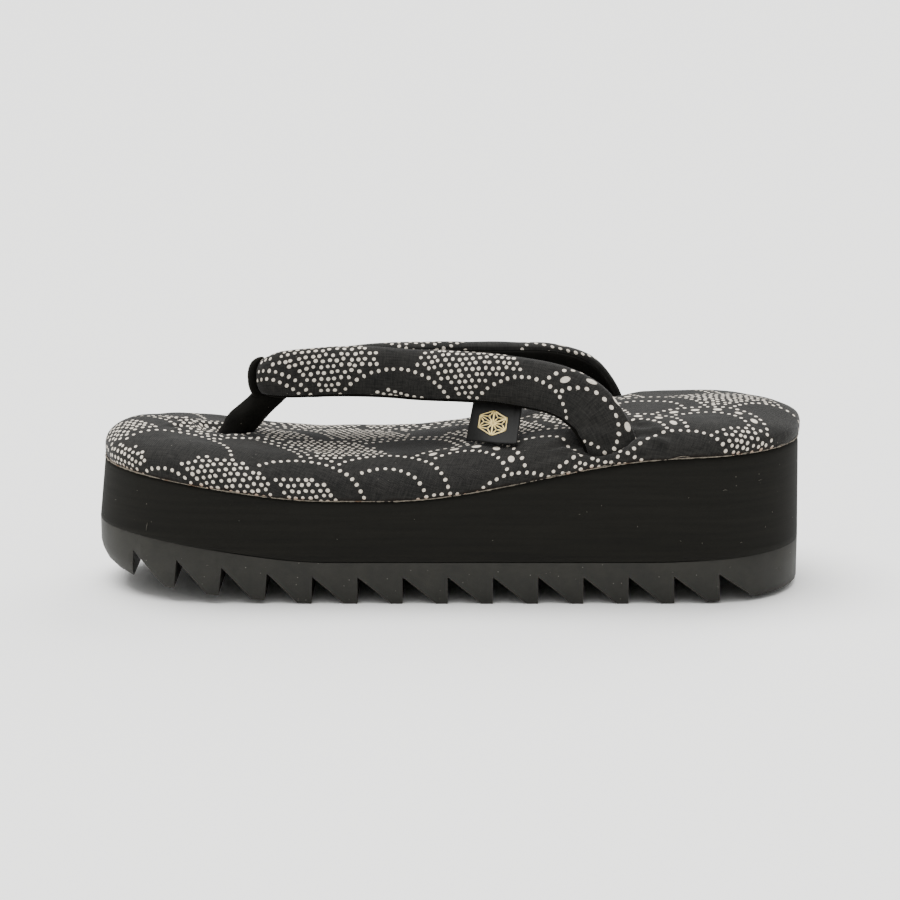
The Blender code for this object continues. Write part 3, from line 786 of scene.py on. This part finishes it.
def cotton_velvet():
    """Cotton velvet: a short upright pile, near black face on, with a grey bloom where it turns away."""
    material, tree, place = start_material("cotton_velvet")
    stroked = add(tree, "TexNoise", {
        "Vector": place, "Scale": 1 / (6 * MM), "Detail": 5.0, "Roughness": 0.6})
    pile = add(tree, "TexNoise", {"Vector": place, "Scale": 1 / (0.35 * MM), "Detail": 2.0})
    black = add(tree, "MixRGB", {"Fac": stroked, "Color1": "#050504", "Color2": "#11100D"})
    lint = specks(tree, place, 2.2 * MM, 0.16 * MM, 0.4)
    linty = add(tree, "MixRGB", {"Fac": lint, "Color1": black, "Color2": "#6E695F"})
    return close_material(material, {
        "Base Color": linty, "Roughness": 1.0, "Specular IOR Level": 0.1, "Sheen Weight": 0.14,
        "Sheen Roughness": 0.25, "Sheen Tint": "#B8AE9E"}, pile, 0.8, 0.2 * MM)


def tube_faces(loop_count, count, first=0):
    """Faces of a tube of closed loops, with one over either end."""
    last = first + (loop_count - 1) * count
    return join_loops(loop_count, count, first) + [tuple(range(end, end + count)) for end in (first, last)]


def make_strap():
    near = [strap_section(*state) for state in arm_frames()]
    turns = [pi * (step / BEND_STATIONS - 0.5) for step in range(1, BEND_STATIONS)]
    rings = near[::-1] + [strap_section(*bend_frame(turn)) for turn in turns] + far_arm(near)
    points = [point for loop in rings for point in loop]
    mesh = closed_mesh("strap", points, tube_faces(len(rings), STRAP_SIDES))
    # Along the cloth the bend is measured round its outer side; round the section, from the top edge
    outer = pi * (BEND_RADIUS + STRAP_THICK / 2)
    along = [-station * STATION for station in range(len(near) - 1, -1, -1)]
    along += [outer * step / BEND_STATIONS for step in range(1, BEND_STATIONS)]
    along += [outer + station * STATION for station in range(len(near))]
    cloth = np.empty((len(points), 2))
    for index, loop in enumerate(rings):
        steps = [(after - before).length for before, after in zip(loop, loop[1:] + loop[:1])]
        down = np.concatenate(((0.0,), np.cumsum(steps)[:-1]))
        down = down[STRAP_SIDES // 4] - down
        down[down < down[STRAP_SIDES * 5 // 8]] += sum(steps)
        cloth[index * STRAP_SIDES:(index + 1) * STRAP_SIDES, 0] = along[index]
        cloth[index * STRAP_SIDES:(index + 1) * STRAP_SIDES, 1] = down
    push_cloth(mesh, cloth * (-1, 1), NEAR_CREASES, STRAP_LUMP, STRAP_LUMP_SIZE)
    corners = np.array([poly.vertices[0] % STRAP_SIDES for poly in mesh.polygons])
    first_velvet = round(SEAM_TOP / 360 * STRAP_SIDES)
    last_velvet = round(SEAM_BELOW / 360 * STRAP_SIDES)
    lined = (corners >= first_velvet) & (corners < last_velvet)
    placed = cloth * (1, -1) + STRAP_PRINT_SHIFT
    print_cloth(mesh, placed, scale_dots(placed.min(0), placed.max(0), 8))
    strap = show("strap_cover", mesh, cotton, velvet)
    mesh.polygons.foreach_set("material_index", lined.astype(np.int32))
    return strap


velvet = cotton_velvet()
strap = make_strap()
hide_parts("strap")

# Thong
# A velvet cord that comes up between the toes, and a flat velvet loop, sewn to its top end, that
# is drawn tight over the bend of the strap.

THONG = 9.8 * MM
THONG_ALONG = 0.170
THONG_BURIED = 0.55         # height in the padding, as a share, where its line turns toward the bend
THONG_LUMP = 0.55 * MM
THONG_REACH = 3 * MM        # from the bend's middle line back to the cord's end
THONG_LIFT = 2.6 * MM       # from the bend's underside up to it
THONG_SIDES = 40
THONG_STATIONS = 60
THONG_SWELL = 1.0 * MM      # how far its front stands out below the loop
SWELL_AT = 0.65             # share of its length
SWELL_REACH = 0.12
FUR = 0.12 * MM
LOOP = 2.4 * MM
LOOP_TURN = radians(25)     # of the bend, covered to either side
LOOP_UP = radians(64)       # round the bend's section, over it and under it
LOOP_DOWN = radians(98)
LOOP_THIN = 0.65            # of its thickness, lost toward its upper end
LOOP_EDGE = 0.45            # and toward its side edges
LOOP_ACROSS = 24
LOOP_LAPS = 64


def make_cord():
    x = place_along(THONG_ALONG)
    foot = Vector((x, 0, foam_top(x - THONG / 2) + 2 * GAP))
    crook = Vector((x, 0, foam_top(x) + THONG_BURIED * PAD))
    middle, out, *_, tall = bend_frame(0.0)
    top = middle - out * THONG_REACH + Vector((0, 0, THONG_LIFT - tall / 2))
    points = []
    for station in range(THONG_STATIONS + 1):
        share = station / THONG_STATIONS
        at = foot * (1 - share) ** 2 + crook * 2 * share * (1 - share) + top * share ** 2
        ahead = ((crook - foot) * (1 - share) + (top - crook) * share).normalized()
        side = Vector((0, 1, 0))
        rise = ahead.cross(side)
        for step in range(THONG_SIDES):
            turn = 2 * pi * step / THONG_SIDES
            fur = noise.noise(Vector((station * 0.35, step * 0.6, 0.0))) * FUR
            lumps = noise.noise(Vector((share * 5.0, cos(turn), sin(turn) + 3.0))) * THONG_LUMP
            pressed = 1 - 0.06 * cos(2 * turn + 2.5 * share) + 0.10 * max(0.22 - share, 0.0) / 0.22
            swell = THONG_SWELL * bell((share - SWELL_AT) / SWELL_REACH) * max(sin(turn), 0.0)
            radius = THONG / 2 * pressed + fur + lumps + swell
            points.append(at + (side * cos(turn) + rise * sin(turn)) * radius)
    return show_body("thong_cord", points, tube_faces(THONG_STATIONS + 1, THONG_SIDES), velvet)


def loop_point(turn, lap, extra):
    """Point over the bend, extra out from its skin: lap runs from under it to over it."""
    middle, *_, thick, tall = bend_frame(turn)
    side = Vector((-cos(turn), sin(turn), 0))
    return (middle + side * ((thick / 2 + extra) * power_cos(lap, STRAP_POWER))
            + Vector((0, 0, (tall / 2 + extra) * power_cos(lap - pi / 2, STRAP_POWER))))


def make_loop():
    points = []
    for step in range(LOOP_LAPS + 1):
        lap = -LOOP_DOWN + (LOOP_UP + LOOP_DOWN) * step / LOOP_LAPS
        thickness = LOOP * (1 - LOOP_THIN * max(lap / LOOP_UP, 0.0) ** 2)
        for across in range(LOOP_ACROSS + 1):
            points.append(loop_point(LOOP_TURN * (2 * across / LOOP_ACROSS - 1), lap, -GAP))
        for across in range(LOOP_ACROSS, -1, -1):
            share = 2 * across / LOOP_ACROSS - 1
            fur = noise.noise(Vector((step * 0.4, across * 0.7, 5.0))) * FUR
            crowned = thickness * (1 - LOOP_EDGE * abs(share) ** 4) + fur
            points.append(loop_point(LOOP_TURN * share, lap, crowned))
    return show_body("thong_loop", points, tube_faces(LOOP_LAPS + 1, 2 * (LOOP_ACROSS + 1)), velvet)


cord = make_cord()
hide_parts("thong")
loop = make_loop()
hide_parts("thong")

# Label
# A black ribbon folded double at its hem and caught in the lower seam of the strap's outer arm,
# with a six-pointed hemp-leaf figure woven in gold thread.

LABEL_WIDE = 17.5 * MM
LABEL_THICK = 1.1 * MM
LABEL_PLY = 0.38 * MM
LABEL_ALONG = 0.5325
LABEL_SEAM = 0.12           # how far out of the strap's middle it is sewn, in strap thicknesses
LABEL_SWING_TOE = 7.5 * MM  # how far its hem stands out from there, at either side
LABEL_SWING_HEEL = 14 * MM
LABEL_STEPS = 24            # rows worked out between two rows of ARM
LABEL_COLUMNS = 36
LABEL_ROWS = 30
LABEL_TUCKED = 1.2 * MM     # up into the seam
LABEL_SAG = 0.35 * MM
LABEL_SKEW = 2.2 * MM       # of the hem toward the toe
LABEL_BOW = 2.6 * MM        # of the hem, outward in its middle
LABEL_SELVEDGE = 0.10       # share of its width between a groove and the heel-side edge
LABEL_GROOVE = 0.16 * MM
FIGURE = 5.4 * MM           # radius of the woven figure
FIGURE_LINE = 0.55 * MM
FIGURE_RELIEF = 0.14 * MM
FIGURE_PIECES = 6           # of each stroke, which bends with the ribbon
FIGURE_AT = 0.47            # share of the ribbon's width, and of its drop below
FIGURE_DOWN = 0.53


def label_line(share):
    """Head and hem of the ribbon at a share of its width from the toe side."""
    x = place_along(LABEL_ALONG) + LABEL_WIDE * share
    row = min(arm_rows(LABEL_STEPS), key=lambda station: abs(place_along(station.along) - x))
    head = arm_middle(row)
    head.y -= STRAP_THICK * LABEL_SEAM
    head.z -= row.tall * STRAP_TALL / 2 + LABEL_THICK / 2 - LABEL_TUCKED
    hem_y = head.y - LABEL_SWING_TOE - (LABEL_SWING_HEEL - LABEL_SWING_TOE) * share
    hem_y -= LABEL_BOW * sin(pi * share)
    hem_z = deck_top(x, hem_y, WIDTH / 2 - abs(hem_y)) + 2 * GAP + LABEL_THICK / 2
    return head, Vector((x - LABEL_SKEW, hem_y, hem_z))


def label_drop():
    head, hem = label_line(0.5)
    return (hem - head).length


def label_point(share, down, lift):
    """Point of the ribbon: share of its width, share of its drop, height over its middle surface."""
    head, hem = label_line(share)
    fall = hem - head
    out = Vector((0, fall.z, -fall.y)).normalized()
    if out.y > 0:
        out = -out
    sag = LABEL_SAG * sin(pi * min(max(down, 0.0), 1.0)) * sin(2.2 * pi * share + 0.6)
    return head + fall * down + out * (lift + sag)


def woven_ribbon():
    """Polyester ribbon, woven: near black, its fine ribs across give a low sheen."""
    material, tree, place = start_material("woven_ribbon")
    ribs = slubs(tree, place, 0.28 * MM, 3 * MM)
    wear = add(tree, "TexNoise", {"Vector": place, "Scale": 1 / (3 * MM), "Detail": 4.0})
    black = add(tree, "MixRGB", {"Fac": wear, "Color1": "#080807", "Color2": "#131311"})
    return close_material(material, {
        "Base Color": black, "Roughness": 0.66, "IOR": 1.5, "Specular IOR Level": 0.2},
        ribs, 0.5, 0.08 * MM)


def gold_thread():
    """Lurex thread, metal foil on film: pale gold, blurred by its twist."""
    material, tree, place = start_material("gold_thread")
    twist = slubs(tree, place, 0.30 * MM, 0.30 * MM)
    gold = add(tree, "MixRGB", {"Fac": twist, "Color1": "#A98A42", "Color2": "#F0DC98"})
    return close_material(material, {
        "Base Color": gold, "Metallic": 0.55, "Roughness": 0.42}, twist, 0.6, 0.08 * MM)


def make_ribbon():
    out = (LABEL_THICK - LABEL_PLY) / 2
    path = [(down / LABEL_ROWS, out) for down in range(LABEL_ROWS + 1)]
    turns = [pi / 2 * step / 4 for step in range(1, 8)]
    path += [(1 + out * sin(turn) / label_drop(), out * cos(turn)) for turn in turns]
    path += [(1 - down / LABEL_ROWS, -out) for down in range(LABEL_ROWS + 1)]
    points = []
    for column in range(LABEL_COLUMNS + 1):
        share = column / LABEL_COLUMNS
        groove = LABEL_GROOVE * bell((share - 1 + LABEL_SELVEDGE) / 0.02)
        outer = [(down, lift + (LABEL_PLY / 2 - groove) * (1 if lift > 0 else -1)) for down, lift in path]
        inner = [(down, lift * 0.98 - LABEL_PLY / 2 * (1 if lift > 0 else -1)) for down, lift in path]
        for down, lift in outer + inner[::-1]:
            points.append(label_point(share, down, lift))
    sides = 2 * len(path)
    faces = join_loops(LABEL_COLUMNS + 1, sides)
    for first in (0, LABEL_COLUMNS * sides):
        for step in range(len(path) - 1):
            faces.append((first + step, first + step + 1, first + sides - 2 - step, first + sides - 1 - step))
    return show_body("label_ribbon", points, faces, woven_ribbon())


def make_figure():
    """Hemp leaf: a hexagon, its spokes, and in each sixth three lines that meet at its middle."""
    turns = [pi * step / 3 + pi / 2 for step in range(6)]
    corners = [Vector((cos(turn), sin(turn))) * FIGURE for turn in turns]
    strokes = []
    for corner, after in zip(corners, corners[1:] + corners[:1]):
        middle = (corner + after) / 3
        strokes += [(corner, after), (Vector((0, 0)), corner), (middle, Vector((0, 0))), (middle, corner),
                    (middle, after)]
    drop = label_drop()
    points = []
    faces = []
    for start, end in strokes:
        ahead = (end - start).normalized()
        across = Vector((-ahead.y, ahead.x)) * FIGURE_LINE / 2
        faces += tube_faces(FIGURE_PIECES + 1, 4, len(points))
        for step in range(FIGURE_PIECES + 1):
            at = start + (end - start) * step / FIGURE_PIECES
            for side, lift in ((-1, 0.0), (-0.6, FIGURE_RELIEF), (0.6, FIGURE_RELIEF), (1, 0.0)):
                spot = at + across * side
                points.append(label_point(FIGURE_AT + spot.x / LABEL_WIDE, FIGURE_DOWN - spot.y / drop,
                                          LABEL_THICK / 2 + lift - 0.03 * MM))
    return show_body("label_figure", points, faces, gold_thread())


ribbon = make_ribbon()
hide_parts("label")
figure = make_figure()
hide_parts("label")

# Raw edge
# The cotton's cut edge, trimmed level where the deck is glued down on the platform. It shows as a
# frayed pale line, stained brown in places by the glue.

EDGE_SIDES = 8
EDGE_TALL = 0.42 * MM


def frayed_cotton():
    """Undyed cotton fibre ends: off-white, brown where glue has soaked in."""
    material, tree, place = start_material("frayed_cotton")
    soaked = add(tree, "TexNoise", {"Vector": place, "Scale": 1 / (5 * MM), "Detail": 4.0})
    glue = add(tree, "MapRange", {"Value": soaked, "From Min": 0.58, "From Max": 0.70})
    fibres = add(tree, "TexNoise", {"Vector": place, "Scale": 1 / (0.7 * MM), "Detail": 3.0})
    pale = add(tree, "MixRGB", {"Fac": fibres, "Color1": "#2A2722", "Color2": "#968D7E"})
    colour = add(tree, "MixRGB", {"Fac": glue, "Color1": pale, "Color2": "#513A26"})
    return close_material(material, {"Base Color": colour, "Roughness": 0.9})


def make_raw_edge():
    loop = sole_loop(0.0, TOE_RAKE, HEEL_RAKE)
    count = len(loop)
    points = []
    for step in range(EDGE_SIDES):
        turn = 2 * pi * step / EDGE_SIDES
        for index, (x, y) in enumerate(loop):
            before = Vector(loop[index - 1])
            after = Vector(loop[(index + 1) % count])
            normal = Vector(((before - after).y, (after - before).x)).normalized()
            fray = noise.noise(Vector((x, y, 0)) / (2.1 * MM))
            fray += 0.7 * noise.noise(Vector((x, y, 7)) / (0.8 * MM))
            out = (0.34 * fray - 0.06) * MM + 0.26 * MM * cos(turn)
            shift = normal * (out if normal.dot(Vector((x, y))) > 0 else -out)
            lift = EDGE_TALL / 2 * sin(turn) * (1 + 0.5 * fray)
            points.append((x + shift.x, y + shift.y, foam_top(x) + GAP / 2 + lift))
    faces = join_loops(EDGE_SIDES, count)
    last = (EDGE_SIDES - 1) * count
    faces += [(last + index, last + (index + 1) % count, (index + 1) % count, index)
              for index in range(count)]
    return show_body("raw_edge", points, faces, frayed_cotton())


def strand(points, faces, path, radius):
    """Adds a four-sided fibre along a path, pointed at both ends."""
    faces += tube_faces(len(path), 4, len(points))
    last = len(path) - 1
    for index, at in enumerate(path):
        ahead = (path[min(index + 1, last)] - path[max(index - 1, 0)]).normalized()
        side = ahead.cross(Vector((0.3, 0.9, 0.2))).normalized()
        girth = radius * (0.25 + 0.75 * sin(pi * index / last))
        points += [at + (side * cos(turn) + ahead.cross(side) * sin(turn)) * girth
                   for turn in (0, pi / 2, pi, 3 * pi / 2)]


def side_place(share, height, out):
    """Point of the outer side of the sole, a share along it, at a height, and out from its skin."""
    x = place_along(share)
    side = [(a, b) for a, b in sole_loop() if b < 0][::-1]
    y = float(np.interp(x, [a for a, b in side], [b for a, b in side]))
    return Vector((x, y - out, height))


# Threads that have come loose along the edge: where, how long, how far they stand up, in millimetres
Fray = namedtuple("Fray", "along length lift")
FRAYS = (
    Fray(0.198, 2.5, 0.5),
    Fray(0.262, 3.0, 0.3),
    Fray(0.430, 4.0, 0.2),
    Fray(0.632, 5.0, 0.5),
    Fray(0.655, 2.5, 0.8),
    Fray(0.705, 3.5, 0.6),
    Fray(0.720, 2.0, 1.1),
    Fray(0.806, 6.0, 0.9),
    Fray(0.818, 4.0, 0.3),
    Fray(0.900, 3.0, 0.4),
    Fray(0.952, 4.0, 0.7),
)
FRAY_THICK = 0.12 * MM


def make_frays():
    points = []
    faces = []
    for row in FRAYS:
        path = []
        for step in range(7):
            share = row.along + row.length * MM / LENGTH * step / 6
            height = foam_top(place_along(share)) + GAP / 2 + row.lift * MM * sin(pi * step / 6 * 0.8)
            path.append(side_place(share, height, 0.35 * MM + 0.4 * (row.lift * MM) * sin(pi * step / 6)))
        strand(points, faces, path, FRAY_THICK)
    return show_body("loose_threads", points, faces, raw_edge.data.materials[0])


raw_edge = make_raw_edge()
frays = make_frays()

# Dust
# Flecks and short fibres of grey household dust that cling to the foam and the rubber.

# Where along the sole, how high up its layer, the length in millimetres, the degrees from level
Fleck = namedtuple("Fleck", "along up length turn")
FOAM_FLECKS = (
    Fleck(0.033, 0.45, 0.5, 20),
    Fleck(0.067, 0.72, 0.4, 0),
    Fleck(0.080, 0.16, 3.0, 78),
    Fleck(0.087, 0.26, 0.5, 60),
    Fleck(0.210, 0.55, 0.4, 10),
    Fleck(0.345, 0.38, 0.5, 130),
    Fleck(0.452, 0.70, 0.4, 40),
    Fleck(0.560, 0.30, 0.6, 15),
    Fleck(0.680, 0.53, 0.5, 0),
    Fleck(0.690, 0.55, 0.5, 90),
    Fleck(0.710, 0.60, 0.4, 45),
    Fleck(0.760, 0.36, 0.5, 100),
    Fleck(0.820, 0.20, 0.6, 160),
    Fleck(0.830, 0.62, 0.5, 30),
    Fleck(0.850, 0.17, 0.6, 80),
    Fleck(0.880, 0.67, 1.7, 4),
    Fleck(0.905, 0.14, 0.8, 20),
    Fleck(0.930, 0.72, 1.2, 8),
    Fleck(0.940, 0.25, 0.6, 70),
    Fleck(0.950, 0.38, 0.6, 110),
)
TREAD_FLECKS = (
    Fleck(0.055, 0.52, 0.8, 60),
    Fleck(0.165, 0.70, 0.9, 5),
    Fleck(0.290, 0.12, 0.7, 30),
    Fleck(0.470, 0.80, 0.6, 20),
    Fleck(0.640, 0.76, 0.5, 95),
    Fleck(0.810, 0.75, 0.6, 0),
    Fleck(0.890, 0.80, 0.7, 40),
    Fleck(0.965, 0.55, 0.6, 65),
)
FLECK_THICK = 0.15 * MM


def household_dust():
    """Household dust: matt, pale grey."""
    return close_material(start_material("dust")[0], {"Base Color": "#45433C", "Roughness": 1.0})


def make_dust():
    points = []
    faces = []
    for rows, low, high in ((FOAM_FLECKS, tread_top, foam_top), (TREAD_FLECKS, lambda x: 0.0, tread_top)):
        for row in rows:
            x = place_along(row.along)
            height = low(x) + (high(x) - low(x)) * row.up
            path = []
            for step in range(5):
                off = (step / 4 - 0.5) * (row.length * MM)
                share = row.along + off * cos(radians(row.turn)) / LENGTH
                bend = 0.12 * (row.length * MM) * sin(pi * step / 4)
                path.append(side_place(share, height + off * sin(radians(row.turn)) + bend, 0.02 * MM))
            strand(points, faces, path, FLECK_THICK)
    return show_body("dust", points, faces, household_dust())


make_dust()

# Studio
# A pale floor and soft white light from all sides, strongest from above and in front.

FLOOR = 12.0
VIEW_DISTANCE = 903.7 * MM
VIEW_DOWN = 12.876          # degrees below level
VIEW_TARGET = Vector((0.29, 0.0, 46.32)) * MM
VIEW_LENS = 100.96          # millimetres, on a sensor 36 wide


def soft_light(name, toward, spread, power):
    """Even light from a direction, as wide as a softbox seen under an angle."""
    lamp = bpy.data.lights.new(name, "SUN")
    lamp.angle = radians(spread)
    lamp.energy = power
    light = bpy.data.objects.new(name, lamp)
    light.rotation_euler = Vector(toward).to_track_quat("Z", "Y").to_euler()
    bpy.context.scene.collection.objects.link(light)


def make_studio():
    bpy.ops.mesh.primitive_plane_add(size=FLOOR)
    ground = bpy.context.object
    ground.name = "floor"
    paper = start_material("white_paper")[0]
    ground.data.materials.append(close_material(paper, {"Base Color": "#F4F4F2", "Roughness": 0.9}))
    world = bpy.data.worlds.new("white_room")
    world.use_nodes = True
    room = world.node_tree
    walls = room.nodes["Background"].inputs
    walls["Color"].default_value = (1.0, 1.0, 1.0, 1.0)
    upward = add(room, "SeparateXYZ", {"Vector": add(room, "TexCoord")}).outputs["Z"]
    overhead = add(room, "MapRange", {"Value": upward, "From Max": 0.7, "To Min": 0.30, "To Max": 0.95})
    room.links.new(overhead.outputs["Result"], walls["Strength"])
    bpy.context.scene.world = world
    soft_light("softbox_above", (-0.25, 0.15, 1.0), 50, 5.2)
    soft_light("softbox_behind", (0.45, 0.80, 0.70), 40, 1.8)
    camera = bpy.data.objects.new("camera", bpy.data.cameras.new("camera"))
    camera.data.sensor_width = 36
    camera.data.lens = VIEW_LENS
    down = radians(VIEW_DOWN)
    camera.location = VIEW_TARGET + Vector((0, -cos(down), sin(down))) * VIEW_DISTANCE
    camera.rotation_euler = (pi / 2 - down, 0, 0)
    bpy.context.scene.collection.objects.link(camera)
    bpy.context.scene.camera = camera


make_studio()
